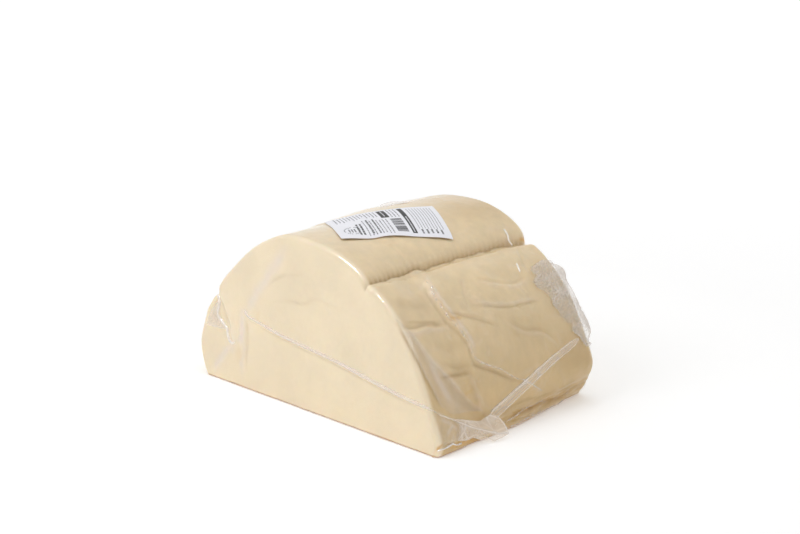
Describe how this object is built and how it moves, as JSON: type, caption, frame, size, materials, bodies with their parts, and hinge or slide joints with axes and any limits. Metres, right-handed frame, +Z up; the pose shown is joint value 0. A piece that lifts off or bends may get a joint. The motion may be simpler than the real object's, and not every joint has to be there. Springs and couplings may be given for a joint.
{
  "type": "vacuum packed provolone half round",
  "caption": "Thick half round of provolone with rope grooves in its rind, sealed in a clear crumpled vacuum bag with a paper label.",
  "frame": {"origin": "middle of the footprint's box, on the surface that the cheese lies on", "axes": "+X along the cut front face, +Y from the front face to the back, +Z up from the flat base"},
  "size_m": [0.3064, 0.2012, 0.1519],
  "materials": {
    "cheese_in_film": "pale straw cheese behind clear, glossy, clinging film",
    "bag_film": "clear vacuum bag, glossy, milky where it is folded or crumpled",
    "label_paper": "matt cool white label paper",
    "label_ink": "matt thermal print, bars and ruled rows only"
  },
  "bodies": {
    "root": {"bagged_cheese": "cheese_in_film", "label": "label_paper"}
  },
  "joints": []
}
